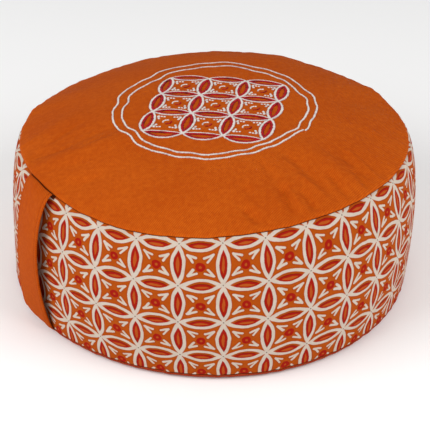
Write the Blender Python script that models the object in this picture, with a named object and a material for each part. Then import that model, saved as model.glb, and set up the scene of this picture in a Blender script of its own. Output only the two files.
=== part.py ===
"""Round zafu meditation cushion, filled and standing on a floor.

A crowned top panel, a swollen side band and a plain bottom panel are sewn together at two round seams.
A carrying handle, a folded strip, is caught in both seams and bows off the band on the -X side.
Metres, +Z up. The origin is the middle of the underside, on the floor.
"""

import math
from collections import namedtuple

import bmesh
import bpy

# Driving dimensions of the filled cushion
TOP_SEAM_RADIUS = 0.1683
TOP_SEAM_HEIGHT = 0.1306
BOTTOM_SEAM_RADIUS = 0.1777
BOTTOM_SEAM_HEIGHT = 0.0050
BAND_SWELL = 0.0078
CROWN_RISE = 0.0290
ROLLED_EDGE = 0.0085
CLOTH = 0.0016
SEAM_GAP = 0.0004
SEAM_DRAW = 0.0010
SEAM_LIP = 0.012
HANDLE_WIDTH = 0.043
HANDLE_THICKNESS = 0.0024
HANDLE_STANDOFF = 0.0053

# How full the cloth is: below 1 the band swells high up, and above 2 the crown is flat in its middle
SHOULDER_POWER = 0.70
CROWN_POWER = 2.8

# The handle stands clear of the band between these shares of the way down
HANDLE_LEAVES = 0.38
HANDLE_RETURNS = 0.66
HANDLE_LIES = 1.0
HANDLE_ANGLE = math.pi
HANDLE_TOP_END = 0.003

# Steps of the meshes
SEGMENTS = 104
CROWN_RINGS = 14
HIDDEN_RINGS = 7
BAND_RINGS = 14
BAND_SPACING = 1.25
ROLL_RINGS = 4
HANDLE_STEPS_DOWN = 26
HANDLE_STEPS_ACROSS = 6

# The filled drum isn't quite even: each wave has so many lobes round the drum, a size in metres
# and the direction of its first peak in degrees
Wave = namedtuple("Wave", "lobes size peak")
SEAM_LIFT = (
    Wave(lobes=1, size=0.0055, peak=-85),
    Wave(lobes=2, size=0.0014, peak=15),
    Wave(lobes=3, size=0.0022, peak=-81),
)
TOP_ROUNDNESS = (
    Wave(lobes=2, size=0.0023, peak=-65),
    Wave(lobes=3, size=0.0024, peak=-28),
)
SIDE_ROUNDNESS = (
    Wave(lobes=1, size=0.0025, peak=-76),
    Wave(lobes=2, size=0.0027, peak=47),
    Wave(lobes=3, size=0.0009, peak=-74),
)
BOTTOM_ROUNDNESS = (
    Wave(lobes=1, size=0.0008, peak=-60),
    Wave(lobes=3, size=0.0013, peak=-94),
)

# Soft folds of the top, each from one place of the plan to another: those on the -X side fan out
# from the handle's end, and the rest run in from the seam
Fold = namedtuple("Fold", "start end half_width height")
TOP_FOLDS = (
    Fold(start=(-0.163, 0.022), end=(-0.080, -0.004), half_width=0.012, height=0.0021),
    Fold(start=(-0.160, 0.037), end=(-0.080, 0.018), half_width=0.009, height=-0.0018),
    Fold(start=(-0.150, 0.068), end=(-0.095, 0.068), half_width=0.012, height=0.0016),
    Fold(start=(-0.157, -0.030), end=(-0.110, -0.034), half_width=0.010, height=-0.0012),
    Fold(start=(-0.027, -0.163), end=(-0.021, -0.112), half_width=0.010, height=-0.0014),
    Fold(start=(0.013, -0.160), end=(0.006, -0.090), half_width=0.010, height=-0.0016),
    Fold(start=(0.040, -0.155), end=(0.028, -0.090), half_width=0.012, height=0.0015),
    Fold(start=(0.066, -0.148), end=(0.050, -0.108), half_width=0.010, height=-0.0013),
    Fold(start=(0.150, -0.055), end=(0.105, -0.040), half_width=0.014, height=-0.0014),
    Fold(start=(0.140, 0.080), end=(0.095, 0.052), half_width=0.015, height=0.0016),
    Fold(start=(0.020, 0.158), end=(0.012, 0.105), half_width=0.014, height=-0.0015),
    Fold(start=(-0.085, 0.135), end=(-0.060, 0.100), half_width=0.015, height=0.0014),
)
FOLD_FADE = 0.35
FOLD_SINKS = 0.93

# Colours of the cloth
TWILL_COLOUR = (0.56, 0.095, 0.008, 1.0)
HANDLE_COLOUR = (0.50, 0.095, 0.012, 1.0)
PRINT_COLOUR = (0.58, 0.30, 0.17, 1.0)


def ease(low, high, value):
    """0 below low, 1 above high, and smooth between them."""
    share = min(1.0, max(0.0, (value - low) / (high - low)))
    return share * share * (3 - 2 * share)


def crown_point(share, depth=0.0):
    """A point of the top cloth at this share of the seam's radius, so far below its outer face."""
    height = TOP_SEAM_HEIGHT + CLOTH + CROWN_RISE * (1 - share**CROWN_POWER)
    return share * TOP_SEAM_RADIUS, height - depth


def band_point(share):
    """A point of the band's outer face: 0 is at the top seam, 1 at the bottom seam."""
    fullness = share**SHOULDER_POWER
    straight = TOP_SEAM_RADIUS + (BOTTOM_SEAM_RADIUS - TOP_SEAM_RADIUS) * share
    height = TOP_SEAM_HEIGHT + (BOTTOM_SEAM_HEIGHT - TOP_SEAM_HEIGHT) * share
    return straight + 4 * BAND_SWELL * fullness * (1 - fullness), height


def roll_point(share, depth=0.0):
    """A point of the underside's rolled edge, from 0, flat on the floor, to 1, upright at the seam."""
    turn = share * math.pi / 2
    flat_radius = BOTTOM_SEAM_RADIUS - ROLLED_EDGE
    radius = flat_radius + (ROLLED_EDGE - depth) * math.sin(turn)
    height = BOTTOM_SEAM_HEIGHT - (BOTTOM_SEAM_HEIGHT - depth) * math.cos(turn)
    return radius, height


def ring_shares(count):
    """Shares of the radius from the middle outwards, closer together near the seam."""
    return [math.sin(math.pi / 2 * ring / count) for ring in range(count + 1)]


def waves(table, angle):
    """What the waves of a table add up to in one direction."""
    return sum(w.size * math.cos(w.lobes * (angle - math.radians(w.peak))) for w in table)


def fold_height(x, y, share):
    """How far the folds lift a point of the top."""
    total = 0.0
    for fold in TOP_FOLDS:
        run_x, run_y = fold.end[0] - fold.start[0], fold.end[1] - fold.start[1]
        length = math.hypot(run_x, run_y)
        off_x, off_y = x - fold.start[0], y - fold.start[1]
        along = (off_x * run_x + off_y * run_y) / length**2
        aside = (off_x * run_y - off_y * run_x) / length / fold.half_width
        fade = ease(-FOLD_FADE / 2, FOLD_FADE / 2, along) * (1 - ease(1 - FOLD_FADE, 1 + FOLD_FADE, along))
        total += fold.height * fade * math.exp(-aside * aside)
    return total * (1 - ease(FOLD_SINKS, 1.0, share))


def settle(mesh):
    """Moves the points of an even drum to where the settled, slightly uneven one has them."""
    for vert in mesh.verts:
        x, y, height = vert.co
        radius = math.hypot(x, y)
        angle = math.atan2(y, x)
        share = min(1.0, radius / TOP_SEAM_RADIUS)
        up = (height - BOTTOM_SEAM_HEIGHT) / (TOP_SEAM_HEIGHT - BOTTOM_SEAM_HEIGHT)
        up = min(1.0, max(0.0, up))
        middle = 4 * up * (1 - up)
        lift = waves(SEAM_LIFT, angle) * share**2
        push = up * waves(TOP_ROUNDNESS, angle) + middle * waves(SIDE_ROUNDNESS, angle)
        push += (1 - up) * waves(BOTTOM_ROUNDNESS, angle)
        grown = radius + push * share**2
        rise = up * lift
        if height > TOP_SEAM_HEIGHT - CLOTH:
            rise += fold_height(x, y, share)
        vert.co = (grown * math.cos(angle), grown * math.sin(angle), height + rise)


def turned(section):
    """A closed solid of revolution from a section that starts and ends on the Z axis."""
    mesh = bmesh.new()
    verts = [mesh.verts.new((radius, 0, height)) for radius, height in section]
    edges = [mesh.edges.new(pair) for pair in zip(verts, verts[1:])]
    bmesh.ops.spin(
        mesh,
        geom=verts + edges,
        cent=(0, 0, 0),
        axis=(0, 0, 1),
        angle=2 * math.pi,
        steps=SEGMENTS,
        use_merge=True,
    )
    bmesh.ops.remove_doubles(mesh, verts=mesh.verts, dist=0.00002)
    bmesh.ops.recalc_face_normals(mesh, faces=mesh.faces)
    return mesh


def split_quads(mesh):
    """Splits each quad along its shorter diagonal, so that faces that lie close together match."""
    bmesh.ops.triangulate(mesh, faces=mesh.faces, quad_method="SHORT_EDGE")


def add_object(name, mesh, colour):
    """Puts a finished mesh in the scene as one named, smoothly shaded object of its own material."""
    data = bpy.data.meshes.new(name)
    mesh.to_mesh(data)
    mesh.free()
    data.shade_smooth()
    data.set_sharp_from_angle(angle=math.radians(40))
    material = bpy.data.materials.new(name)
    material.use_nodes = True
    shader = material.node_tree.nodes["Principled BSDF"]
    shader.inputs["Base Color"].default_value = colour
    shader.inputs["Roughness"].default_value = 0.85
    shader.inputs["Metallic"].default_value = 0.0
    data.materials.append(material)
    thing = bpy.data.objects.new(name, data)
    bpy.context.scene.collection.objects.link(thing)
    return thing


def top_panel():
    """The crowned disc of plain twill, with its edge turned down at the seam."""
    outer = [crown_point(share) for share in ring_shares(CROWN_RINGS)]
    edge_radius, edge_height = outer.pop()
    round_over = CLOTH / 3
    edge = [
        (edge_radius - round_over, edge_height),
        (edge_radius, edge_height - CLOTH / 2),
        (edge_radius - round_over, TOP_SEAM_HEIGHT),
    ]
    inner = [crown_point(share, CLOTH) for share in ring_shares(HIDDEN_RINGS)[-2::-1]]
    mesh = turned(outer + edge + inner)
    settle(mesh)
    split_quads(mesh)
    return add_object("top_panel", mesh, TWILL_COLOUR)


def side_band():
    """The swollen side band, one filled solid up to the two round panels."""
    covered = CLOTH + SEAM_GAP
    top = [crown_point(share, covered) for share in ring_shares(HIDDEN_RINGS)[:-1]]
    top.append((TOP_SEAM_RADIUS - SEAM_DRAW, TOP_SEAM_HEIGHT - SEAM_GAP))
    spacing = [(ring / BAND_RINGS) ** BAND_SPACING for ring in range(1, BAND_RINGS)]
    side = [band_point(share) for share in [SEAM_LIP] + spacing + [1 - SEAM_LIP]]
    bottom = [
        (BOTTOM_SEAM_RADIUS - SEAM_DRAW, BOTTOM_SEAM_HEIGHT + SEAM_GAP),
        (BOTTOM_SEAM_RADIUS - covered, BOTTOM_SEAM_HEIGHT + SEAM_GAP),
    ]
    bottom += [roll_point(ring / ROLL_RINGS, covered) for ring in range(ROLL_RINGS - 1, -1, -1)]
    mesh = turned(top + side + bottom + [(0, covered)])
    settle(mesh)
    split_quads(mesh)
    return add_object("side_band", mesh, PRINT_COLOUR)


def bottom_panel():
    """The underside: flat where it rests, with its edge rolled up to the bottom seam."""
    inner = [roll_point(ring / ROLL_RINGS, CLOTH) for ring in range(ROLL_RINGS + 1)]
    outer = [roll_point(ring / ROLL_RINGS) for ring in range(ROLL_RINGS, -1, -1)]
    mesh = turned([(0, CLOTH)] + inner + outer + [(0, 0)])
    settle(mesh)
    return add_object("bottom_panel", mesh, TWILL_COLOUR)


def handle_bow(share):
    """0 where the handle lies on the band, and 1 where it stands off freely and is flat across."""
    return ease(0, HANDLE_LEAVES, share) * (1 - ease(HANDLE_RETURNS, HANDLE_LIES, share))


def handle_point(share):
    """A point of the handle's inner face, off the band along the band's own normal."""
    step = HANDLE_TOP_END / 2
    radius, height = band_point(share)
    before = band_point(share - step)
    after = band_point(min(1.0, share + step))
    down = (after[0] - before[0], after[1] - before[1])
    length = math.hypot(*down)
    away = SEAM_GAP + HANDLE_STANDOFF * handle_bow(share)
    return radius - away * down[1] / length, height + away * down[0] / length


def handle():
    """The carrying handle: a strip of doubled twill from seam to seam, wrapped round the drum."""
    mesh = bmesh.new()
    bmesh.ops.create_grid(
        mesh, x_segments=HANDLE_STEPS_DOWN, y_segments=HANDLE_STEPS_ACROSS, size=0.5
    )
    widest = band_point(0.5)[0]
    for vert in mesh.verts:
        way_down = HANDLE_TOP_END + (1 - HANDLE_TOP_END) * (vert.co.x + 0.5)
        radius, height = handle_point(way_down)
        turn = vert.co.y * HANDLE_WIDTH / widest
        radius += radius * (1 / math.cos(turn) - 1) * handle_bow(way_down)
        angle = HANDLE_ANGLE + turn
        vert.co = (radius * math.cos(angle), radius * math.sin(angle), height)
    settle(mesh)
    bmesh.ops.recalc_face_normals(mesh, faces=mesh.faces)
    outward = sum(face.normal.x for face in mesh.faces)
    if outward > 0:
        bmesh.ops.reverse_faces(mesh, faces=mesh.faces)
    strip = add_object("handle", mesh, HANDLE_COLOUR)
    folded = strip.modifiers.new("doubled cloth", "SOLIDIFY")
    folded.thickness = HANDLE_THICKNESS
    folded.offset = 1.0
    folded.use_even_offset = True
    return strip


for old in list(bpy.data.objects):
    bpy.data.objects.remove(old, do_unlink=True)

top_panel()
side_band()
bottom_panel()
handle()
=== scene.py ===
"""Looks of a round zafu meditation cushion that stands on a pale floor.

The printed side band, the two twill panels, the carrying handle and the embroidery are modelled on an even
drum first. Then one function settles every point the way the filled cushion has settled: tilted a little,
not quite round, with soft folds and creases on top, puckers along both seams and a few pulls in the upper
one. Metres, +Z up.
"""

import math
from collections import namedtuple

import bmesh
import bpy
import numpy as np
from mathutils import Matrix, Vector


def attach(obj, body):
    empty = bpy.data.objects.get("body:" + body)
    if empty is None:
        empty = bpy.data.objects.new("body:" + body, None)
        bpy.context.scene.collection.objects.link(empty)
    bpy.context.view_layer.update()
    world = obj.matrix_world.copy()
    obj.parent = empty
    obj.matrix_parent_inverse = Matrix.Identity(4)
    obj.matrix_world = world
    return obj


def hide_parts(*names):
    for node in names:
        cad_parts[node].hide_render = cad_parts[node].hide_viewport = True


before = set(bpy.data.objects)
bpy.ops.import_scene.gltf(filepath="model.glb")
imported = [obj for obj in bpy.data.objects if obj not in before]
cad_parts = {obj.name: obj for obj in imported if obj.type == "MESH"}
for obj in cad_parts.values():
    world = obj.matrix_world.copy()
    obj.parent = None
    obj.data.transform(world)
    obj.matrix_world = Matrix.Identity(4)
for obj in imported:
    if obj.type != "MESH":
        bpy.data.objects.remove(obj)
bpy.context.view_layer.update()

# Sizes of the filled cushion, the same as those of the solids
TOP_SEAM_RADIUS = 0.1683
TOP_SEAM_HEIGHT = 0.1306
BOTTOM_SEAM_RADIUS = 0.1777
BOTTOM_SEAM_HEIGHT = 0.0050
BAND_SWELL = 0.0078
CROWN_RISE = 0.0290
TOP_ROLL = 0.0020
ROLLED_EDGE = 0.0085
CLOTH = 0.0016
SEAM_GAP = 0.0004
SEAM_DRAW = 0.0010
HANDLE_WIDTH = 0.043
HANDLE_THICKNESS = 0.0024
SHOULDER_POWER = 0.70
CROWN_POWER = 2.8
HANDLE_ANGLE = math.pi
# Points closer together than this are one point
TOUCHING = 0.00001

# Steps of the meshes
SEGMENTS = 504
CROWN_RINGS = 80
HIDDEN_RINGS = 9
BAND_RINGS = 54
ROLL_RINGS = 8
HANDLE_STEPS_DOWN = 90
HANDLE_STEPS_ACROSS = 40

# The filled drum isn't quite even: each wave has so many lobes round the drum, a size in metres
# and the direction of its first peak in degrees
Wave = namedtuple("Wave", "lobes size peak")
SEAM_LIFT = (
    Wave(lobes=1, size=0.0055, peak=-85),
    Wave(lobes=2, size=0.0014, peak=15),
    Wave(lobes=3, size=0.0022, peak=-81),
)
TOP_ROUNDNESS = (
    Wave(lobes=2, size=0.0023, peak=-65),
    Wave(lobes=3, size=0.0024, peak=-28),
)
SIDE_ROUNDNESS = (
    Wave(lobes=1, size=0.0025, peak=-76),
    Wave(lobes=2, size=0.0027, peak=47),
    Wave(lobes=3, size=0.0009, peak=-74),
)
BOTTOM_ROUNDNESS = (
    Wave(lobes=1, size=0.0008, peak=-60),
    Wave(lobes=3, size=0.0013, peak=-94),
)
# Where the hand that sewed the seams took up a little more or less cloth
SEAM_WANDER = (
    Wave(lobes=17, size=0.00022, peak=12),
    Wave(lobes=29, size=0.00020, peak=4),
    Wave(lobes=47, size=0.00016, peak=2),
)
PUCKERS = (
    Wave(lobes=61, size=0.00016, peak=1),
    Wave(lobes=83, size=0.00020, peak=3),
    Wave(lobes=109, size=0.00014, peak=0),
)
# How far from a seam the puckers fade, and how much of them moves the top seam outwards and upwards
PUCKER_REACH = 0.011
PUCKER_OUT = 0.4
PUCKER_UP = 0.6

# Short stretches of the top seam that sit higher or lower, first the one where the handle is caught in it.
# Directions and half widths are in degrees, lifts in metres.
Pull = namedtuple("Pull", "direction half_width lift")
SEAM_PULLS = (
    Pull(direction=177, half_width=21, lift=0.0043),
    Pull(direction=129, half_width=4, lift=0.0024),
    Pull(direction=115, half_width=5, lift=-0.0015),
    Pull(direction=97, half_width=11, lift=-0.0021),
    Pull(direction=14, half_width=12, lift=-0.0017),
    Pull(direction=-7, half_width=6, lift=0.0019),
)
# How far down the band and in over the top a pull fades
PULL_REACH_DOWN = 0.012
PULL_REACH_IN = 0.030

# The handle is a little twisted: each long edge has its own distance from the handle's middle, and
# bows off the band by its own standoff, with two powers that say how soon it leaves and returns
Edge = namedtuple("Edge", "from_middle standoff leaves returns")
NEAR_EDGE = Edge(from_middle=0.0207, standoff=0.0083, leaves=0.45, returns=0.85)
FAR_EDGE = Edge(from_middle=0.0228, standoff=0.0036, leaves=0.60, returns=0.38)
# Its ends lie a small share of the way down from the seams. There it is pressed thinner by a share of its
# thickness, which comes back over another share of the way.
HANDLE_END = 0.003
HANDLE_PRESSED = 0.75
HANDLE_PRESSED_OVER = 0.03
# How far its sewn lines are from its edges, how wide and deep they lie, and its length along the bow
HANDLE_SEWN_IN = 0.0032
SEWN_LINE = 0.0008
SEWN_DEPTH = 0.0003
# How much of the band under its ends is painted in the seams' shade
SHADE_UNDER_HANDLE = 0.0018

# Soft folds of the top, each from one place of the plan to another: those on the -X side fan out
# from the handle's end, and the rest run in from the seam
Fold = namedtuple("Fold", "start end half_width height")
TOP_FOLDS = (
    Fold(start=(-0.163, 0.022), end=(-0.080, -0.004), half_width=0.012, height=0.0021),
    Fold(start=(-0.160, 0.037), end=(-0.080, 0.018), half_width=0.009, height=-0.0018),
    Fold(start=(-0.150, 0.068), end=(-0.095, 0.068), half_width=0.012, height=0.0016),
    Fold(start=(-0.157, -0.030), end=(-0.110, -0.034), half_width=0.010, height=-0.0012),
    Fold(start=(-0.027, -0.163), end=(-0.021, -0.112), half_width=0.010, height=-0.0014),
    Fold(start=(0.013, -0.160), end=(0.006, -0.090), half_width=0.010, height=-0.0016),
    Fold(start=(0.040, -0.155), end=(0.028, -0.090), half_width=0.012, height=0.0015),
    Fold(start=(0.066, -0.148), end=(0.050, -0.108), half_width=0.010, height=-0.0013),
    Fold(start=(0.150, -0.055), end=(0.105, -0.040), half_width=0.014, height=-0.0014),
    Fold(start=(0.140, 0.080), end=(0.095, 0.052), half_width=0.015, height=0.0016),
    Fold(start=(0.020, 0.158), end=(0.012, 0.105), half_width=0.014, height=-0.0015),
    Fold(start=(-0.085, 0.135), end=(-0.060, 0.100), half_width=0.015, height=0.0014),
)
# Finer creases of the same cloth, too narrow for the solids
TOP_CREASES = (
    Fold(start=(-0.163, 0.031), end=(-0.116, 0.032), half_width=0.0040, height=0.0006),
    Fold(start=(-0.164, 0.014), end=(-0.130, -0.010), half_width=0.0050, height=-0.0006),
    Fold(start=(-0.160, -0.022), end=(-0.136, -0.030), half_width=0.0040, height=-0.0006),
    Fold(start=(-0.058, -0.152), end=(-0.057, -0.126), half_width=0.0050, height=-0.0005),
    Fold(start=(0.100, -0.110), end=(0.082, -0.085), half_width=0.0060, height=-0.0005),
    Fold(start=(0.110, 0.118), end=(0.085, 0.090), half_width=0.0060, height=-0.0006),
    Fold(start=(-0.020, 0.160), end=(-0.015, 0.120), half_width=0.0060, height=0.0006),
    Fold(start=(-0.019, -0.129), end=(-0.025, -0.153), half_width=0.0034, height=-0.0034),
    Fold(start=(0.008, -0.100), end=(0.012, -0.149), half_width=0.0032, height=-0.0010),
    Fold(start=(0.001, -0.126), end=(0.007, -0.155), half_width=0.0032, height=0.0016),
    Fold(start=(-0.006, -0.141), end=(-0.009, -0.162), half_width=0.0034, height=-0.0034),
    Fold(start=(0.058, -0.111), end=(0.063, -0.150), half_width=0.0030, height=0.0013),
    Fold(start=(0.048, -0.118), end=(0.055, -0.150), half_width=0.0032, height=-0.0016),
    Fold(start=(-0.017, -0.138), end=(-0.019, -0.158), half_width=0.0035, height=0.0017),
    Fold(start=(-0.045, -0.114), end=(-0.050, -0.135), half_width=0.0035, height=-0.0013),
    Fold(start=(-0.050, -0.125), end=(-0.050, -0.142), half_width=0.0030, height=0.0008),
    Fold(start=(-0.059, -0.133), end=(-0.056, -0.150), half_width=0.0034, height=-0.0026),
    Fold(start=(-0.017, -0.097), end=(-0.019, -0.122), half_width=0.0032, height=-0.0012),
    Fold(start=(0.001, -0.102), end=(0.002, -0.120), half_width=0.0030, height=0.0008),
    Fold(start=(0.100, -0.087), end=(0.101, -0.116), half_width=0.0040, height=0.0008),
    Fold(start=(0.042, -0.106), end=(0.042, -0.134), half_width=0.0035, height=-0.0008),
    Fold(start=(0.048, -0.136), end=(0.047, -0.157), half_width=0.0034, height=-0.0029),
    Fold(start=(0.026, -0.134), end=(0.024, -0.157), half_width=0.0034, height=-0.0029),
    Fold(start=(-0.029, -0.127), end=(-0.034, -0.147), half_width=0.0032, height=0.0008),
    Fold(start=(-0.126, 0.014), end=(-0.091, 0.011), half_width=0.0030, height=-0.0011),
    Fold(start=(-0.137, 0.045), end=(-0.103, 0.049), half_width=0.0034, height=-0.0010),
    Fold(start=(-0.134, 0.028), end=(-0.096, 0.027), half_width=0.0034, height=0.0008),
    Fold(start=(-0.158, -0.014), end=(-0.133, -0.031), half_width=0.0034, height=-0.0008),
    Fold(start=(-0.151, 0.033), end=(-0.128, 0.023), half_width=0.0032, height=-0.0010),
)
# The share of a fold's run in which it fades, and the share of the seam's radius from which all of them do
FOLD_FADE = 0.35
FOLD_SINKS = 0.95

# The printed repeat: circles that overlap on a lattice, with a node where four of them meet. The cloth
# is as wide at the foot as at the top seam, so a repeat turns less far round the wider foot, by the taper for
# each row down.
PRINT_PITCH = math.radians(11.48)
PRINT_PITCH_DOWN = 0.0337
PRINT_NODE = math.radians(-121.0)
PRINT_TAPER = 0.009
# The first row of nodes lies a little below the top seam and wanders with it. It follows a pull of the seam
# only in part, and the print above it is gathered.
PRINT_FIRST_ROW = 0.0042
PRINT_WANDER = Wave(lobes=3, size=0.0009, peak=-138)
PRINT_LEFT_BEHIND = 0.7
PRINT_GATHERED = 1.35

# The embroidered emblem on top: the same lattice, three cells by three, in two wavy rings
EMBLEM_CENTRE = Vector((0.0013, -0.0048))
EMBLEM_PITCH = 0.0340
EMBLEM_ROWS = math.radians(-42.2)
EMBLEM_COLUMNS = math.radians(-136.5)
EMBLEM_CELLS = 3
Ring = namedtuple("Ring", "centre radius")
RINGS = (
    Ring(centre=Vector((0.0025, -0.0009)), radius=0.0874),
    Ring(centre=Vector((0.0016, -0.0032)), radius=0.0793),
)
RING_WAVES = (
    Wave(lobes=2, size=0.0027, peak=20),
    Wave(lobes=3, size=0.0008, peak=64),
    Wave(lobes=4, size=0.0008, peak=-30),
    Wave(lobes=9, size=0.0006, peak=7),
    Wave(lobes=10, size=0.0008, peak=14),
    Wave(lobes=17, size=0.0006, peak=3),
    Wave(lobes=26, size=0.0004, peak=9),
)
Leaf = namedtuple("Leaf", "outline outline_line filling filling_line fullness")
ROW_LEAF = Leaf(outline=0.0051, outline_line=0.0014, filling=0.0034, filling_line=0.0030, fullness=2.3)
COLUMN_LEAF = Leaf(outline=0.0054, outline_line=0.0022, filling=0.0032, filling_line=0.0029, fullness=2.5)
LAST_ROW_LEAN = 0.0030
# How far the outline and the filling of a leaf reach towards its two nodes
OUTLINE_REACH = 0.99
FILLING_REACH = 0.84
# A ring's line, the direction of its two ends and how far they miss each other
RING_LINE = 0.0017
RING_ENDS = math.radians(-63)
RING_JOG = 0.0016
# Satin stitches: from one to the next, and how far one may slip aside, turn and differ in length
STITCH_PITCH = 0.00095
STITCH_OVERLAP = 1.45
STITCH_SLIP = 0.00018
STITCH_TWIST = 0.22
STITCH_UNEVEN = 0.22
# Dashes: how far one may turn, and how much longer it is than the way between its two holes
DASH_TWIST = 0.25
DASH_OVERRUN = 0.0004
# How high a stitch is, and how far its middle lies over the cloth
STITCH_HEIGHT = 0.0011
OUTLINE_HEIGHT = 0.0013
STITCH_LIFT = 0.00015

# The photo's camera: where it stands round the drum and how it looks
CAMERA_AZIMUTH = math.radians(-34)
CAMERA_ELEVATION = math.radians(31.85)
CAMERA_DISTANCE = 1.292
CAMERA_AIM_HEIGHT = 0.0658
FOCAL_PIXELS = 1437
PICTURE_WIDTH = 430
DRUM_MIDDLE_PIXEL = Vector((211.3, 197.5))


# Shapes of the even drum

def ease(low, high, value):
    """0 below low, 1 above high, and smooth between them."""
    share = np.clip((value - low) / (high - low), 0.0, 1.0)
    return share * share * (3 - 2 * share)


def crown_height(share):
    """Height of the top panel's outer face at this share of the seam's radius."""
    return TOP_SEAM_HEIGHT + CLOTH + CROWN_RISE * (1 - share**CROWN_POWER)


def band_point(share):
    """A point of the band's outer face: 0 is at the top seam, 1 at the bottom seam."""
    fullness = share**SHOULDER_POWER
    straight = TOP_SEAM_RADIUS + (BOTTOM_SEAM_RADIUS - TOP_SEAM_RADIUS) * share
    height = TOP_SEAM_HEIGHT + (BOTTOM_SEAM_HEIGHT - TOP_SEAM_HEIGHT) * share
    return straight + 4 * BAND_SWELL * fullness * (1 - fullness), height


def roll_point(share, depth=0.0):
    """A point of the underside's rolled edge, from 0, flat on the floor, to 1, upright at the seam."""
    turn = share * math.pi / 2
    radius = BOTTOM_SEAM_RADIUS - ROLLED_EDGE + (ROLLED_EDGE - depth) * math.sin(turn)
    return radius, BOTTOM_SEAM_HEIGHT - (BOTTOM_SEAM_HEIGHT - depth) * math.cos(turn)


def steps(count):
    """Even shares from just above 0 to just below 1."""
    return [step / count for step in range(1, count)]


def waves(table, angle):
    """What the waves of a table add up to in each direction."""
    return sum(wave.size * np.cos(wave.lobes * (angle - math.radians(wave.peak))) for wave in table)


def pulled_up(angle):
    """How much higher the top seam sits in each direction, for the handle's pull and a few others."""
    total = np.zeros_like(angle)
    for pull in SEAM_PULLS:
        off = np.degrees(np.angle(np.exp(1j * (angle - math.radians(pull.direction)))))
        total += pull.lift * np.exp(-((off / pull.half_width) ** 2))
    return total


def fold_height(x, y, share):
    """How far the folds and creases lift each point of the top."""
    total = np.zeros_like(x)
    for fold in TOP_FOLDS + TOP_CREASES:
        run_x, run_y = fold.end[0] - fold.start[0], fold.end[1] - fold.start[1]
        length = math.hypot(run_x, run_y)
        off_x, off_y = x - fold.start[0], y - fold.start[1]
        along = (off_x * run_x + off_y * run_y) / length**2
        aside = (off_x * run_y - off_y * run_x) / length / fold.half_width
        fade = ease(-FOLD_FADE / 2, FOLD_FADE / 2, along) * (1 - ease(1 - FOLD_FADE, 1 + FOLD_FADE, along))
        total += fold.height * fade * np.exp(-aside * aside)
    return total * (1 - ease(FOLD_SINKS, 1.0, share))


def settled(points):
    """Points of the even drum, moved to where the filled and sewn cushion has them."""
    x, y, height = points.T
    radius = np.hypot(x, y)
    angle = np.arctan2(y, x)
    share = np.minimum(1.0, radius / TOP_SEAM_RADIUS)
    up = np.clip((height - BOTTOM_SEAM_HEIGHT) / (TOP_SEAM_HEIGHT - BOTTOM_SEAM_HEIGHT), 0.0, 1.0)
    push = up * waves(TOP_ROUNDNESS, angle) + 4 * up * (1 - up) * waves(SIDE_ROUNDNESS, angle)
    push += (1 - up) * waves(BOTTOM_ROUNDNESS, angle)
    below = np.maximum(TOP_SEAM_HEIGHT - height, 0)
    inward = TOP_SEAM_RADIUS * (1 - share)
    from_top_seam = np.hypot(below, inward)
    from_bottom_seam = np.abs(height - BOTTOM_SEAM_HEIGHT)
    pucker = waves(PUCKERS, angle)
    near_top = np.exp(-from_top_seam / PUCKER_REACH)
    near_bottom = np.exp(-from_bottom_seam / PUCKER_REACH) * share
    grown = radius + push * share**2 + pucker * (near_top * PUCKER_OUT + near_bottom)
    rise = up * waves(SEAM_LIFT, angle) * share**2
    rise += near_top * (waves(SEAM_WANDER, angle) + PUCKER_UP * pucker)
    rise += np.exp(-np.hypot(below / PULL_REACH_DOWN, inward / PULL_REACH_IN)) * pulled_up(angle)
    rise += near_bottom * waves(SEAM_WANDER, -angle) * ease(0.0, BOTTOM_SEAM_HEIGHT, height)
    on_top = height > TOP_SEAM_HEIGHT - CLOTH
    rise += np.where(on_top, fold_height(x, y, share), 0.0)
    return np.stack([grown * np.cos(angle), grown * np.sin(angle), height + rise], axis=1)


# Making and finishing objects

def turned(section):
    """A closed solid of revolution from a section that starts and ends on the Z axis."""
    mesh = bmesh.new()
    verts = [mesh.verts.new((radius, 0, height)) for radius, height in section]
    edges = [mesh.edges.new(pair) for pair in zip(verts, verts[1:])]
    bmesh.ops.spin(
        mesh,
        geom=verts + edges,
        cent=(0, 0, 0),
        axis=(0, 0, 1),
        angle=2 * math.pi,
        steps=SEGMENTS,
        use_merge=True,
    )
    bmesh.ops.remove_doubles(mesh, verts=mesh.verts, dist=TOUCHING)
    bmesh.ops.recalc_face_normals(mesh, faces=mesh.faces)
    return mesh


def made_data(name, mesh):
    """The finished data of a mesh that was being made."""
    data = bpy.data.meshes.new(name)
    mesh.to_mesh(data)
    mesh.free()
    return data


def points_of(data):
    """The points of a mesh as an array."""
    flat = np.empty(len(data.vertices) * 3)
    data.vertices.foreach_get("co", flat)
    return flat.reshape(-1, 3)


def settle(data):
    """Moves a mesh from the even drum to the settled one."""
    data.vertices.foreach_set("co", settled(points_of(data)).ravel())
    data.update()


def finished(name, data, material, slot, *nodes):
    """Puts a finished mesh in the scene as one smoothly shaded piece that rides with the cushion."""
    data.shade_smooth()
    data.materials.append(material)
    piece = bpy.data.objects.new(name, data)
    bpy.context.scene.collection.objects.link(piece)
    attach(piece, "root")
    if nodes:
        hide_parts(*nodes)
    return piece


# Nodes that do sums

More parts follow.
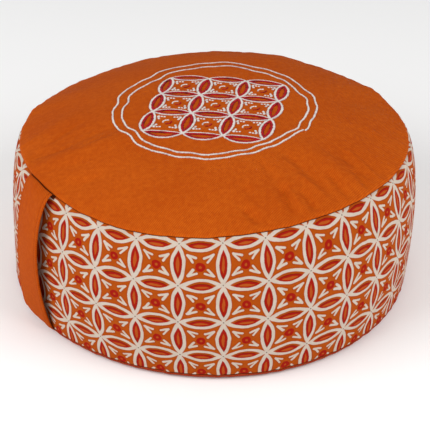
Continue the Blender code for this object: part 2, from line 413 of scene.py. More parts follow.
class Number:
    """A number that differs from place to place on the cloth, as an output of a shader's nodes."""

    def __init__(self, tree, socket):
        self.tree = tree
        self.socket = socket

    def worked(self, operation, *others):
        node = self.tree.nodes.new("ShaderNodeMath")
        node.operation = operation
        for place, value in enumerate((self,) + others):
            feed(self.tree, value, node.inputs[place])
        return Number(self.tree, node.outputs[0])

    def __add__(self, other):
        return self.worked("ADD", other)

    def __sub__(self, other):
        return self.worked("SUBTRACT", other)

    def __mul__(self, other):
        return self.worked("MULTIPLY", other)

    def size(self):
        return self.worked("ABSOLUTE")

    def least(self, other):
        return self.worked("MINIMUM", other)

    def most(self, other):
        return self.worked("MAXIMUM", other)

    def within(self, low, high):
        return self.worked("MAXIMUM", low).worked("MINIMUM", high)

    def past_whole(self):
        return self.worked("FRACT")

    def wave(self):
        return self.worked("SINE")

    def below(self, limit, softness):
        """1 where the number is below the limit, 0 where it is above, and soft between them."""
        node = self.tree.nodes.new("ShaderNodeMapRange")
        node.interpolation_type = "SMOOTHSTEP"
        self.tree.links.new(self.socket, node.inputs["Value"])
        node.inputs["From Min"].default_value = limit - softness
        node.inputs["From Max"].default_value = limit + softness
        node.inputs["To Min"].default_value = 1.0
        node.inputs["To Max"].default_value = 0.0
        return Number(self.tree, node.outputs["Result"])


def feed(tree, value, socket):
    """Gives a node's input a worked-out number or colour, or a plain one."""
    if isinstance(value, Number):
        tree.links.new(value.socket, socket)
    elif isinstance(value, bpy.types.NodeSocket):
        tree.links.new(value, socket)
    else:
        socket.default_value = value


def far(x, y):
    """Distance from the middle."""
    return (x * x + y * y).worked("SQRT")


def far_from_line(x, y, start, end):
    """Distance from a straight line between two places."""
    run_x, run_y = end[0] - start[0], end[1] - start[1]
    length = math.hypot(run_x, run_y)
    off_x, off_y = x - start[0], y - start[1]
    along = (off_x * (run_x / length) + off_y * (run_y / length)).within(0.0, length)
    return far(off_x - along * (run_x / length), off_y - along * (run_y / length))


def lens(across, along, half_width, half_length):
    """How deep inside a pointed lens each place is: below 0 outside it."""
    radius = (half_length**2 + half_width**2) / (2 * half_width)
    return far(across + (radius - half_width), along) * -1.0 + radius


def new_material(name, roughness):
    """A material with its shader, which is a plain matte cloth so far."""
    material = bpy.data.materials.new(name)
    material.use_nodes = True
    tree = material.node_tree
    shader = tree.nodes["Principled BSDF"]
    shader.inputs["Roughness"].default_value = roughness
    shader.inputs["Specular IOR Level"].default_value = 0.05
    return material, tree, shader


def object_place(tree):
    """Places in the object's own axes."""
    return tree.nodes.new("ShaderNodeTexCoord").outputs["Object"]


def place_on_cloth(tree, layer):
    """Places on a UV layer with their two numbers, or in the object's own axes where there is no layer."""
    if layer:
        source = tree.nodes.new("ShaderNodeUVMap")
        source.uv_map = layer
        vector = source.outputs["UV"]
    else:
        vector = object_place(tree)
    parts = tree.nodes.new("ShaderNodeSeparateXYZ")
    tree.links.new(vector, parts.inputs["Vector"])
    return vector, Number(tree, parts.outputs["X"]), Number(tree, parts.outputs["Y"])


def noise(tree, vector, scale, detail=2.0):
    """Three noises, each from about -0.5 to 0.5."""
    node = tree.nodes.new("ShaderNodeTexNoise")
    tree.links.new(vector, node.inputs["Vector"])
    node.inputs["Scale"].default_value = scale
    node.inputs["Detail"].default_value = detail
    parts = tree.nodes.new("ShaderNodeSeparateColor")
    tree.links.new(node.outputs["Color"], parts.inputs["Color"])
    return [Number(tree, parts.outputs[name]) - 0.5 for name in ("Red", "Green", "Blue")]


def mixed(tree, share, under, over):
    """One colour laid over another where the share is 1."""
    node = tree.nodes.new("ShaderNodeMix")
    node.data_type = "RGBA"
    feed(tree, share, node.inputs["Factor"])
    feed(tree, under, node.inputs["A"])
    feed(tree, over, node.inputs["B"])
    return node.outputs["Result"]


def raised(tree, shader, height, distance):
    """A bump from a worked-out height."""
    node = tree.nodes.new("ShaderNodeBump")
    tree.links.new(height.socket, node.inputs["Height"])
    node.inputs["Distance"].default_value = distance
    tree.links.new(node.outputs["Normal"], shader.inputs["Normal"])


# Colours, as linear light: the twill, the print, the threads with painted shade at their stitches' ends, the
# underside's edge, which is painted in shade, and the seams' painted shade
ORANGE = (0.465, 0.071, 0.0022, 1.0)
ORANGE_WORN = (0.570, 0.106, 0.0050, 1.0)
ORANGE_DEEP = (0.281, 0.034, 0.0017, 1.0)
PRINT_ORANGE = (0.433, 0.075, 0.0038, 1.0)
PRINT_ORANGE_DEEP = (0.315, 0.044, 0.0030, 1.0)
PRINT_CORE = (0.442, 0.081, 0.0102, 1.0)
PRINT_WHITE = (0.620, 0.527, 0.442, 1.0)
PRINT_WHITE_WORN = (0.552, 0.451, 0.365, 1.0)
PRINT_RED = (0.340, 0.0102, 0.0034, 1.0)
PRINT_MAROON = (0.128, 0.0034, 0.0034, 1.0)
PRINT_SPECK = (0.093, 0.051, 0.038, 1.0)
# The lilac and the maroon are painted shade at the ends of the stitches
THREAD_WHITE = (0.690, 0.645, 0.600, 1.0)
THREAD_LILAC_SHADE = (0.330, 0.225, 0.240, 1.0)
THREAD_CRIMSON = (0.391, 0.0034, 0.0085, 1.0)
THREAD_MAROON_SHADE = (0.060, 0.0008, 0.0034, 1.0)
# The underside is painted in shade, so that its rolled edge shows as a dark strip
UNDERSIDE_SHADE_ORANGE = (0.350, 0.042, 0.0120, 1.0)
SEAM_DARK = (0.100, 0.016, 0.0060, 1.0)
FLOOR_COLOUR = (0.950, 0.948, 0.945, 1.0)

# From rib to rib of the twill and how the ribs slant on the panels and on the handle, from thread to thread,
# and from stitch to stitch of the handle's sewn lines
TWILL_PERIOD = 0.0015
TWILL_SLANT = math.radians(19)
HANDLE_SLANT = math.radians(50)
THREAD_PERIOD = 0.0007
SEWING_PITCH = 0.0028


def twill(name, layer, slant, painted_shade=0.0, sewn_at=None):
    """Burnt-orange cotton twill: fine slanting ribs, crossed by the threads, a little uneven in its dye.

    It can be darkened all over with painted shade, and sewn along both sides at a distance from the strip's
    middle.
    """
    material, tree, shader = new_material(name, roughness=0.82)
    vector, x, y = place_on_cloth(tree, layer)
    bend = noise(tree, vector, 60.0)
    across = y * math.cos(slant) - x * math.sin(slant) + bend[0] * 0.0006
    along = x * math.cos(slant) + y * math.sin(slant) + bend[1] * 0.0006
    ribs = (across * (2 * math.pi / TWILL_PERIOD)).wave()
    threads = (along * (2 * math.pi / THREAD_PERIOD) + ribs * 1.2).wave()
    fuzz = noise(tree, vector, 900.0, 3.0)
    patches = noise(tree, vector, 14.0, 3.0)
    slubs = noise(tree, vector, 260.0, 3.0)
    # The ribs' and threads' grooves and the sewn lines are the cloth's own; the added share darkens it all
    # with painted shade
    grooves_and_painted_shade = ribs.below(-0.45, 0.5) * 0.40 + threads.below(-0.5, 0.5) * 0.12 + painted_shade
    if sewn_at:
        pricks = (x * (2 * math.pi / SEWING_PITCH)).wave().below(0.2, 0.5) * 0.35 + 0.25
        grooves_and_painted_shade = grooves_and_painted_shade + (y.size() - sewn_at).size().below(0.0004, 0.0003) * pricks
    grooves_and_painted_shade = grooves_and_painted_shade.within(0.0, 1.0)
    faded = (patches[0] * 1.3 + slubs[0] * 1.9 + fuzz[0] * 1.0 + 0.42).within(0.0, 1.0)
    colour = mixed(tree, faded, ORANGE, ORANGE_WORN)
    colour = mixed(tree, grooves_and_painted_shade, colour, ORANGE_DEEP)
    tree.links.new(colour, shader.inputs["Base Color"])
    raised(tree, shader, ribs * 0.6 + threads * 0.25 + fuzz[1] * 1.1 + slubs[1] * 2.4, 0.00018)
    return material


def printed_cotton():
    """Cotton printed with overlapping circles: white outlines, red leaves in them and small marks between."""
    material, tree, shader = new_material("printed_cotton", roughness=0.80)
    vector, u, v = place_on_cloth(tree, "print")
    hand = noise(tree, vector, 1.5)
    shake = noise(tree, vector, 5.0)
    fuzz = noise(tree, vector, 45.0, 3.0)
    u = u + hand[0] * 0.100 + shake[0] * 0.020 + fuzz[0] * 0.012
    v = v + hand[1] * 0.100 + shake[1] * 0.020 + fuzz[1] * 0.012
    thicker = hand[2] * 0.026 + shake[2] * 0.014
    x = u.past_whole() - 0.5
    y = v.past_whole() - 0.5
    aside, off = x.size(), y.size()
    soft = 0.007

    # White outlines of the upright and the level leaves: a large leaf less the smaller one inside it
    across, above = aside * -1.0 + 0.5, off * -1.0 + 0.5
    outer = lens(across, off, half_width=0.170, half_length=0.508)
    outer = outer.most(lens(above, aside, half_width=0.179, half_length=0.508))
    inner = lens(across, off, half_width=0.097, half_length=0.350)
    inner = inner.most(lens(above, aside, half_width=0.110, half_length=0.340))
    white = (outer * -1.0 - thicker).below(0.0, soft) * (inner + thicker).below(0.0, soft)

    # Open marks, each with its point towards a node
    point, long_end, short_end = (0.286, 0.252), (0.092, 0.184), (0.158, 0.088)
    mark_x = aside + shake[2] * 0.05
    mark_y = off + hand[2] * 0.05
    mark = far_from_line(mark_x, mark_y, point, long_end)
    mark = mark.least(far_from_line(mark_x, mark_y, point, short_end))
    white = white.most((mark - 0.027 - thicker * 0.6).below(0.0, soft))
    white = white.most(far(across, above).below(0.055, soft))

    # Red leaves, printed a little low, and a red ring in the middle
    low = 0.040
    level_off = (y + (0.5 - low)).size().least((y - (0.5 + low)).size())
    leaf = lens(across, off, half_width=0.100, half_length=0.350)
    leaf = leaf.most(lens(level_off, aside, half_width=0.094, half_length=0.310))
    core = lens(across, off, half_width=0.034, half_length=0.20)
    core = core.most(lens(level_off, aside, half_width=0.032, half_length=0.18)) + shake[1] * 0.04
    dot = far(x + shake[0] * 0.04, y - 0.03)
    red = (leaf * -1.0).below(0.0, soft).most((dot - 0.108).below(0.0, soft))
    inside = (core * -1.0).below(0.0, soft).most((dot - 0.030).below(0.0, soft * 1.6))
    rim = leaf.size().below(0.012, 0.008) * (y * 3.0 + hand[0] * 4.0 + 0.35).within(0.0, 1.0)

    speck = far(across, above).below(0.017, soft)
    deep = (outer * -1.0).least(mark - 0.028).below(0.026, 0.020)

    wear = (fuzz[2] * 1.6 + shake[0] * 1.4 + 0.35).within(0.0, 1.0)
    ground = mixed(tree, (deep * 0.40 + wear * 0.25).within(0.0, 1.0), PRINT_ORANGE, PRINT_ORANGE_DEEP)
    ink = mixed(tree, red, ground, PRINT_RED)
    ink = mixed(tree, rim * red, ink, PRINT_MAROON)
    ink = mixed(tree, inside, ink, PRINT_CORE)
    colour = mixed(tree, white, ink, mixed(tree, wear, PRINT_WHITE, PRINT_WHITE_WORN))
    colour = mixed(tree, speck * 0.85, colour, PRINT_SPECK)
    tree.links.new(colour, shader.inputs["Base Color"])

    threads = 2 * math.pi * PRINT_PITCH_DOWN / THREAD_PERIOD
    weave = (u * threads).wave() * (v * threads).wave()
    raised(tree, shader, weave * 0.7 + fuzz[0] * 1.4 + white * 0.5, 0.00014)
    return material


def shaded_cloth(name, colour):
    """The same twill without its ribs, in a darker colour that paints shade on the underside and in the
    seams.
    """
    material, tree, shader = new_material(name, roughness=0.85)
    fuzz = noise(tree, object_place(tree), 300.0, 3.0)
    shade = (fuzz[0] * 1.4 + 0.3).within(0.0, 1.0)
    dark = tuple(value * 0.55 for value in colour[:3]) + (1.0,)
    tree.links.new(mixed(tree, shade, colour, dark), shader.inputs["Base Color"])
    raised(tree, shader, fuzz[1], 0.0002)
    return material


def thread(name, middle, ends, gloss, unevenness):
    """Embroidery thread: each stitch has painted shade where its two ends go into the cloth, and is uneven in
    tone.
    """
    material, tree, shader = new_material(name, roughness=0.42)
    along = tree.nodes.new("ShaderNodeAttribute")
    along.attribute_name = "along"
    tip = Number(tree, along.outputs["Fac"]).size()
    vector = object_place(tree)
    fuzz = noise(tree, vector, 700.0, 3.0)
    uneven = noise(tree, vector, 210.0)
    # Painted shade at a stitch's two ends, over uneven patches of tone
    shade = (tip.worked("POWER", 2.5) * 0.9 + fuzz[0] * 0.9 + uneven[0] * unevenness - 0.05).within(0.0, 1.0)
    tree.links.new(mixed(tree, shade, middle, ends), shader.inputs["Base Color"])
    raised(tree, shader, fuzz[1], 0.0002)
    shader.inputs["Specular IOR Level"].default_value = gloss
    return material


# The drum's three pieces

def top_panel(material):
    """The crowned panel, with its edge rolled down into the seam."""
    outer = [(0.0, crown_height(0.0))]
    outer += [(share * TOP_SEAM_RADIUS, crown_height(share)) for share in steps(CROWN_RINGS)]
    edge = []
    for turn in (25, 50, 72, 90):
        radius = TOP_SEAM_RADIUS - TOP_ROLL * (1 - math.sin(math.radians(turn)))
        drop = CLOTH * (1 - math.cos(math.radians(turn)))
        edge.append((radius, crown_height(radius / TOP_SEAM_RADIUS) - drop))
    edge.append((TOP_SEAM_RADIUS - SEAM_DRAW, TOP_SEAM_HEIGHT))
    inner = [
        (share * TOP_SEAM_RADIUS, crown_height(share) - CLOTH)
        for share in [0.97] + steps(HIDDEN_RINGS)[::-1]
    ]
    data = made_data("top_panel_cloth", turned(outer + edge + inner + [(0.0, crown_height(0.0) - CLOTH)]))
    settle(data)
    piece = finished("top_panel_cloth", data, material, "orange_twill", "top_panel")


def print_layer(data):
    """Lays the printed repeat on the band, from the even drum, with its join under the handle."""
    layer = data.uv_layers.new(name="print")
    points = points_of(data)
    corner = np.empty(len(data.loops), dtype=np.int32)
    data.loops.foreach_get("vertex_index", corner)
    counts = np.empty(len(data.polygons), dtype=np.int32)
    data.polygons.foreach_get("loop_total", counts)
    face_of = np.repeat(np.arange(len(counts)), counts)
    middles = np.zeros((len(counts), 3))
    np.add.at(middles, face_of, points[corner])
    face_angle = np.arctan2(middles[:, 1], middles[:, 0])[face_of]
    angle = np.arctan2(points[corner, 1], points[corner, 0])
    angle += 2 * math.pi * np.round((face_angle - angle) / (2 * math.pi))
    shares = np.linspace(0, 1, 200)
    radii, heights = band_point(shares)
    lengths = np.concatenate([[0.0], np.cumsum(np.hypot(np.diff(radii), np.diff(heights)))])
    below_seam = np.interp(-points[corner, 2], -heights, lengths)
    wander = waves([PRINT_WANDER], angle) + PRINT_LEFT_BEHIND * pulled_up(angle)
    wander *= 1 - ease(0.0, PRINT_PITCH_DOWN, below_seam)
    down = (below_seam - PRINT_FIRST_ROW - wander) / PRINT_PITCH_DOWN
    down = np.where(down < 0, down * PRINT_GATHERED, down)
    across = (angle - PRINT_NODE) / (PRINT_PITCH * (1 - PRINT_TAPER * down))
    layer.data.foreach_set("uv", np.stack([across, down], axis=1).ravel())


def side_band(material, seam_material):
    """The printed band, swollen by the filling that it carries up to both panels.

    What is turned into the seams, and a little more under the handle's ends, is painted in the seams' shade.
    """
    covered = CLOTH + SEAM_GAP
    top = [(0.0, crown_height(0.0) - covered)]
    top += [(share * TOP_SEAM_RADIUS, crown_height(share) - covered) for share in steps(HIDDEN_RINGS)]
    top += [(0.985 * TOP_SEAM_RADIUS, crown_height(0.985) - covered)]
    lip = [
        (TOP_SEAM_RADIUS - 2 * SEAM_DRAW, TOP_SEAM_HEIGHT - SEAM_GAP),
        (TOP_SEAM_RADIUS - SEAM_DRAW, TOP_SEAM_HEIGHT - 1.2 * SEAM_GAP),
        (TOP_SEAM_RADIUS - 0.35 * SEAM_DRAW, TOP_SEAM_HEIGHT - 2 * SEAM_GAP),
    ]
    side = [band_point(share) for share in [0.012] + steps(BAND_RINGS) + [0.99]]
    hem = [
        (BOTTOM_SEAM_RADIUS - 0.35 * SEAM_DRAW, BOTTOM_SEAM_HEIGHT + 2 * SEAM_GAP),
        (BOTTOM_SEAM_RADIUS - SEAM_DRAW, BOTTOM_SEAM_HEIGHT + 1.2 * SEAM_GAP),
        (BOTTOM_SEAM_RADIUS - covered, BOTTOM_SEAM_HEIGHT + SEAM_GAP),
    ]
    under = [roll_point(share, covered) for share in (0.75, 0.5, 0.25, 0.0)]
    data = made_data("side_band_cloth", turned(top + lip + side + hem + under + [(0.0, covered)]))
    print_layer(data)
    points = points_of(data)
    # Faces turned into the seams and those under the handle's ends get the seams' painted shade
    highest, lowest = TOP_SEAM_HEIGHT - 2 * SEAM_GAP, side[-1][1] - TOUCHING
    for face in data.polygons:
        middle = sum(points[corner] for corner in face.vertices) / len(face.vertices)
        covered_end = middle[0] < 0 and -NEAR_EDGE.from_middle < middle[1] < FAR_EDGE.from_middle
        shade = SHADE_UNDER_HANDLE if covered_end else 0.0
        face.material_index = int(middle[2] > highest - shade or middle[2] < lowest + shade)
    settle(data)
    piece = finished("side_band_cloth", data, material, "printed_cotton", "side_band")
    data.materials.append(seam_material)


def bottom_panel(material):
    """The underside, flat on the floor, with its edge rolled up to the bottom seam."""
    inner = [roll_point(step / ROLL_RINGS, CLOTH) for step in range(ROLL_RINGS + 1)]
    outer = [roll_point(step / ROLL_RINGS) for step in range(ROLL_RINGS, -1, -1)]
    data = made_data("bottom_panel_cloth", turned([(0.0, CLOTH)] + inner + outer + [(0.0, 0.0)]))
    settle(data)
    piece = finished("bottom_panel_cloth", data, material, "orange_twill", "bottom_panel")


# The handle

def edge_off(edge, share):
    """How far an edge of the handle stands off the band at this share of the way down."""
    middle = edge.leaves / (edge.leaves + edge.returns)
    rise = (share / middle) ** edge.leaves * ((1 - share) / (1 - middle)) ** edge.returns
    return edge.standoff * rise


def on_handle(share, across, away):
    """Places on the handle: so far down, from -0.5 to 0.5 across, and so far off its inner face."""
    radius, height = band_point(share)
    before = band_point(share - HANDLE_END / 2)
    after = band_point(share + HANDLE_END / 2)
    down_out, down_up = after[0] - before[0], after[1] - before[1]
    length = np.hypot(down_out, down_up)
    off = edge_off(FAR_EDGE, share) * (0.5 - across) + edge_off(NEAR_EDGE, share) * (0.5 + across)
    away = away + off + SEAM_GAP
    radius = radius - away * down_up / length
    height = height + away * down_out / length
    beside = 2 * across * np.where(across > 0, NEAR_EDGE.from_middle, FAR_EDGE.from_middle)
    angle = HANDLE_ANGLE + beside / band_point(0.5)[0]
    return np.stack([radius * np.cos(angle), radius * np.sin(angle), height], axis=-1)


def pressed(share):
    """How thick the handle still is where its ends are pressed into the seams, 1 for the rest of it."""
    return 1 - HANDLE_PRESSED * (
        np.exp(-share / HANDLE_PRESSED_OVER) + np.exp((share - 1) / HANDLE_PRESSED_OVER)
    )


def handle(material):
    """The carrying handle, a strip folded at both edges and sewn down along them."""
    mesh = bmesh.new()
    bmesh.ops.create_grid(mesh, x_segments=HANDLE_STEPS_DOWN, y_segments=HANDLE_STEPS_ACROSS, size=0.5)
    layer = mesh.loops.layers.uv.new("strip")
    for face in mesh.faces:
        for loop in face.loops:
            down, across, _ = loop.vert.co
            across = 0.5 * math.sin(math.pi * across)
            loop[layer].uv = (down * (TOP_SEAM_HEIGHT - BOTTOM_SEAM_HEIGHT), across * HANDLE_WIDTH)
    sides = bmesh.ops.extrude_face_region(mesh, geom=list(mesh.faces))
    for item in sides["geom"]:
        if isinstance(item, bmesh.types.BMVert):
            item.co.z = 1.0
    data = made_data("handle_cloth", mesh)
    down, across, outside = points_of(data).T
    across = 0.5 * np.sin(math.pi * across)
    share = HANDLE_END + (1 - 2 * HANDLE_END) * (down + 0.5)
    edge = (1 - 2 * np.abs(across)) * HANDLE_WIDTH / 2
    half = HANDLE_THICKNESS / 2 * pressed(share)
    round_over = half * np.sqrt(1 - np.maximum(0.0, 1 - edge / HANDLE_THICKNESS * 2) ** 2)
    sewn = SEWN_DEPTH * np.exp(-(((edge - HANDLE_SEWN_IN) / SEWN_LINE) ** 2)) * pressed(share)
    away = half + (round_over - sewn) * (2 * outside - 1)
    data.vertices.foreach_set("co", on_handle(share, across, away).ravel())
    whole = bmesh.new()
    whole.from_mesh(data)
    bmesh.ops.remove_doubles(whole, verts=whole.verts, dist=TOUCHING)
    bmesh.ops.recalc_face_normals(whole, faces=whole.faces)
    whole.to_mesh(data)
    whole.free()
    settle(data)
    piece = finished("handle_cloth", data, material, "orange_twill", "handle")
    width = NEAR_EDGE.from_middle + FAR_EDGE.from_middle


# Embroidery

Stitch = namedtuple("Stitch", "x y turn length width")


def stitch_shape():
    """One short stitch with rounded ends, as points and faces, one unit long, wide and high."""
    mesh = bmesh.new()
    bmesh.ops.create_uvsphere(mesh, u_segments=6, v_segments=5, radius=0.5)
    bmesh.ops.rotate(
        mesh,
        verts=mesh.verts,
        cent=(0, 0, 0),
        matrix=Vector((0, 0, 1)).rotation_difference(Vector((1, 0, 0))).to_matrix(),
    )
    mesh.verts.index_update()
    points = np.array([vert.co for vert in mesh.verts])
    thickness = np.hypot(points[:, 1], points[:, 2])
    # A stitch keeps its thickness almost to its ends, where a sphere narrows
    fuller = np.minimum(1.45, 0.5 / np.maximum(thickness, 0.01))
    points[:, 1:] *= fuller[:, None]
    faces = [[vert.index for vert in face.verts] for face in mesh.faces]
    mesh.free()
    return points, faces


def embroidered(name, stitches, material, height=STITCH_HEIGHT):
    """Joins many stitches, laid on the crown and settled with it, into one piece."""
    shape, faces = stitch_shape()
    table = np.array(stitches)
    x, y, turn, length, width = (column[:, None] for column in table.T)
    along = shape[:, 0][None, :] * length
    aside = shape[:, 1][None, :] * width
    place_x = x + along * np.cos(turn) - aside * np.sin(turn)
    place_y = y + along * np.sin(turn) + aside * np.cos(turn)
    share = np.hypot(place_x, place_y) / TOP_SEAM_RADIUS
    place_z = crown_height(share) + STITCH_LIFT + shape[:, 2][None, :] * height
    points = np.stack([place_x.ravel(), place_y.ravel(), place_z.ravel()], axis=1)
    count = len(shape)
    every = [[corner + copy * count for corner in face] for copy in range(len(stitches)) for face in faces]
    data = bpy.data.meshes.new(name)
    data.from_pydata(settled(points).tolist(), [], every)
    ends = data.attributes.new("along", "FLOAT", "POINT")
    ends.data.foreach_set("value", np.tile(shape[:, 0] * 2, len(stitches)))
    finished(name, data, material, "embroidery_thread")


def measured(path):
    """How long a path of plan positions is, and a function for the place at any length along it."""
    run = np.array(path)
    reach = np.concatenate([[0.0], np.cumsum(np.hypot(*(run[1:] - run[:-1]).T))])

    def place(where):
        """The place that lies so far along the path."""
        return np.array([np.interp(where, reach, run[:, 0]), np.interp(where, reach, run[:, 1])])

    return reach[-1], place


def satin(path, width, dice):
    """Stitches laid side by side across a path of plan positions."""
    made = []
    whole, place = measured(path)
    count = max(2, int(round(whole / STITCH_PITCH)))
    for step in range(count):
        where = whole * (step + 0.5) / count
        here = place(where)
        ahead = place(min(whole, where + STITCH_PITCH)) - here
        heading = math.atan2(ahead[1], ahead[0])
        slip, longer, twist = dice.uniform(-1, 1, 3)
        made.append(
            Stitch(
                x=here[0] - slip * STITCH_SLIP * math.sin(heading),
                y=here[1] + slip * STITCH_SLIP * math.cos(heading),
                turn=heading + math.pi / 2 + STITCH_TWIST * twist,
                length=width * (1 + STITCH_UNEVEN * longer),
                width=STITCH_PITCH * STITCH_OVERLAP,
            )
        )
    return made


def ring_path(ring, turned_on, jog):
    """A wavy ring whose two ends miss each other a little."""
    path = []
    for step in range(361):
        share = step / 360
        angle = RING_ENDS + 2 * math.pi * share
        near_ends = math.exp(-share / 0.03) - math.exp((share - 1) / 0.03)
        reach = ring.radius + waves(RING_WAVES, angle + turned_on) + jog / 2 * near_ends
        path.append((ring.centre.x + reach * math.cos(angle), ring.centre.y + reach * math.sin(angle)))
    return path


def emblem_place(column, row):
    """A place of the emblem's lattice, counted in cells from its middle."""
    across = Vector((math.cos(EMBLEM_ROWS), math.sin(EMBLEM_ROWS))) * EMBLEM_PITCH
    down = Vector((math.cos(EMBLEM_COLUMNS), math.sin(EMBLEM_COLUMNS))) * EMBLEM_PITCH
    return EMBLEM_CENTRE + across * column + down * row


def leaf_sides(start, end, half_width, reach, fullness, lean, dice):
    """The two bowed sides of a leaf between two nodes, each as a path. It may lean out to one side."""
    middle = (start + end) / 2
    along = (end - start) / 2
    aside = Vector((-along.y, along.x)).normalized()
    sides = []
    for side in (-1, 1):
        uneven = dice.uniform(-0.12, 0.12)
        bow = half_width * (1 + dice.uniform(-0.08, 0.08))
        path = []
        for step in range(25):
            share = -1 + 2 * step / 24
            out = (side * bow * (1 + uneven * share) + lean) * (1 - abs(share) ** fullness)
            place = middle + along * share * reach + aside * out
            path.append((place.x, place.y))
        sides.append(path)
    return sides


def emblem_leaves():
    """The ends of all 24 leaves, one along each side of each cell, how wide each is and how it leans."""
    half = EMBLEM_CELLS / 2
    for line in range(EMBLEM_CELLS + 1):
        lean = -LAST_ROW_LEAN if line == EMBLEM_CELLS else 0.0
        for cell in range(EMBLEM_CELLS):
            along_row = emblem_place(cell - half, line - half), emblem_place(cell + 1 - half, line - half)
            down_column = emblem_place(line - half, cell - half), emblem_place(line - half, cell + 1 - half)
            yield along_row, ROW_LEAF, lean
            yield down_column, COLUMN_LEAF, 0.0


def dashes(path, dice, length, gap, width):
    """Short running stitches along a path of plan positions."""
    made = []
    whole, place = measured(path)
    start = 0.0
    while start + 0.6 * length < whole:
        end = min(start + length, whole)
        first, last = place(start), place(end)
        middle = (first + last) / 2
        turn = math.atan2(last[1] - first[1], last[0] - first[0]) + DASH_TWIST * dice.uniform(-1, 1)
        made.append(
            Stitch(x=middle[0], y=middle[1], turn=turn, length=end - start + DASH_OVERRUN, width=width)
        )
        start = end + gap
    return made


def cell_marks(column, row, dice):
    """The broken corner marks of a cell, and the curl in its middle, half white and half red."""
    white, red = [], []
    for right in (-1, 1):
        for low in (-1, 1):
            point = emblem_place(column + right * 0.30, row + low * 0.27)
            level_tip = emblem_place(column + right * 0.07, row + low * 0.24)
            white += dashes([tuple(point), tuple(level_tip)], dice, length=0.0018, gap=0.0007, width=0.0014)
            down_tip = emblem_place(column + right * 0.22, row + low * 0.09)
            white += dashes([tuple(point), tuple(down_tip)], dice, length=0.0026, gap=0.0003, width=0.0021)
    for colour, first, last in ((white, 150, 290), (red, -30, 100)):
        curl = []
        for step in range(9):
            angle = math.radians(first + (last - first) * step / 8)
            curl.append(tuple(emblem_place(column + 0.11 * math.cos(angle), row + 0.095 * math.sin(angle))))
        colour += dashes(curl, dice, length=0.0019, gap=0.0002, width=0.0013)
    return white, red


def embroidery(white_thread, crimson_thread):
    """The emblem: two wavy rings, 24 leaves outlined in white and filled in crimson, and small marks."""
    dice = np.random.RandomState(7)
    rings = satin(ring_path(RINGS[0], turned_on=0.0, jog=RING_JOG), RING_LINE, dice)
    rings += satin(ring_path(RINGS[1], turned_on=0.04, jog=0.0), RING_LINE, dice)
    embroidered("embroidered_rings", rings, white_thread)
    outlines, fills, marks, red_marks = [], [], [], []
    for (start, end), leaf, lean in emblem_leaves():
        for side in leaf_sides(start, end, leaf.outline, OUTLINE_REACH, leaf.fullness, lean, dice):
            outlines += satin(side, leaf.outline_line, dice)
        for side in leaf_sides(start, end, leaf.filling, FILLING_REACH, leaf.fullness, lean, dice):
            fills += satin(side, leaf.filling_line, dice)
    for column in range(EMBLEM_CELLS):
        for row in range(EMBLEM_CELLS):
            white, red = cell_marks(column - 1, row - 1, dice)
            marks += white
            red_marks += red
    embroidered("embroidered_leaf_outlines", outlines, white_thread, height=OUTLINE_HEIGHT)
    embroidered("embroidered_leaf_fills", fills, crimson_thread)
    embroidered("embroidered_marks", marks, white_thread)
    embroidered("embroidered_red_marks", red_marks, crimson_thread)


# Stage

def floor():
    """A plain pale floor."""
    mesh = bmesh.new()
    bmesh.ops.create_grid(mesh, x_segments=1, y_segments=1, size=3.0)
    data = made_data("floor", mesh)
    material, _, shader = new_material("pale_floor", roughness=0.9)
    shader.inputs["Base Color"].default_value = FLOOR_COLOUR
    shader.inputs["Specular IOR Level"].default_value = 0.1
    data.materials.append(material)
    ground = bpy.data.objects.new("floor", data)
    bpy.context.scene.collection.objects.link(ground)


def light(name, azimuth, elevation, distance, size, power):
    """A soft square light that looks at the cushion."""
    lamp = bpy.data.lights.new(name, "AREA")
    lamp.shape = "SQUARE"
    lamp.size = size
    lamp.energy = power
    holder = bpy.data.objects.new(name, lamp)
    bpy.context.scene.collection.objects.link(holder)
    turn, rise = math.radians(azimuth), math.radians(elevation)
    way = Vector((math.sin(turn) * math.cos(rise), -math.cos(turn) * math.cos(rise), math.sin(rise)))
    holder.location = way * distance + Vector((0, 0, CAMERA_AIM_HEIGHT))
    holder.rotation_euler = way.to_track_quat("Z", "Y").to_euler()


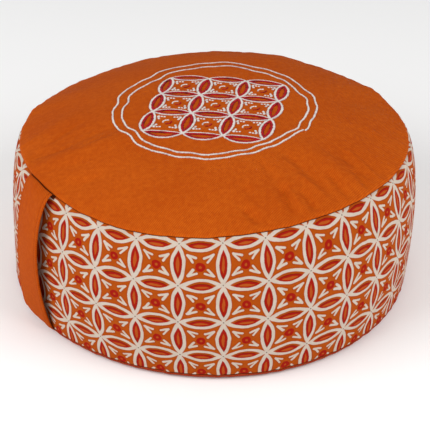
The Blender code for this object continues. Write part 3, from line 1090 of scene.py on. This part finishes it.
def camera():
    """The camera of the photo."""
    way = Vector((
        math.sin(CAMERA_AZIMUTH) * math.cos(CAMERA_ELEVATION),
        -math.cos(CAMERA_AZIMUTH) * math.cos(CAMERA_ELEVATION),
        math.sin(CAMERA_ELEVATION),
    ))
    middle = Vector((0, 0, CAMERA_AIM_HEIGHT))
    right = Vector((math.cos(CAMERA_AZIMUTH), math.sin(CAMERA_AZIMUTH), 0))
    up = way.cross(right)
    off = (Vector((PICTURE_WIDTH, PICTURE_WIDTH)) / 2 - DRUM_MIDDLE_PIXEL) * (CAMERA_DISTANCE / FOCAL_PIXELS)
    aim = middle + right * off.x - up * off.y
    lens_data = bpy.data.cameras.new("camera")
    lens_data.sensor_width = 36.0
    lens_data.lens = lens_data.sensor_width * FOCAL_PIXELS / PICTURE_WIDTH
    holder = bpy.data.objects.new("camera", lens_data)
    bpy.context.scene.collection.objects.link(holder)
    holder.location = middle + way * CAMERA_DISTANCE
    holder.rotation_euler = (holder.location - aim).to_track_quat("Z", "Y").to_euler()
    bpy.context.scene.camera = holder


def sky():
    """Even white light from all round."""
    world = bpy.data.worlds.new("studio")
    world.use_nodes = True
    background = world.node_tree.nodes["Background"]
    background.inputs["Color"].default_value = (1.0, 1.0, 1.0, 1.0)
    background.inputs["Strength"].default_value = 0.495
    bpy.context.scene.world = world


panel_twill = twill("orange_twill", None, TWILL_SLANT)
sewn_at = HANDLE_WIDTH / 2 - HANDLE_SEWN_IN
# The handle's twill is darkened all over with painted shade
strip_twill = twill("handle_twill", "strip", HANDLE_SLANT, painted_shade=0.22, sewn_at=sewn_at)
top_panel(panel_twill)
side_band(printed_cotton(), shaded_cloth("seam_shade", SEAM_DARK))
# The underside is painted in shade
bottom_panel(shaded_cloth("underside_painted_shade", UNDERSIDE_SHADE_ORANGE))
handle(strip_twill)
embroidery(
    thread("white_thread", THREAD_WHITE, THREAD_LILAC_SHADE, gloss=0.30, unevenness=1.8),
    thread("crimson_thread", THREAD_CRIMSON, THREAD_MAROON_SHADE, gloss=0.12, unevenness=3.0),
)
floor()
sky()
light("left light", azimuth=-95, elevation=33, distance=1.8, size=1.3, power=22.0)
light("right light", azimuth=22, elevation=33, distance=1.8, size=1.3, power=19.2)
camera()
bpy.context.scene.view_settings.view_transform = "Standard"
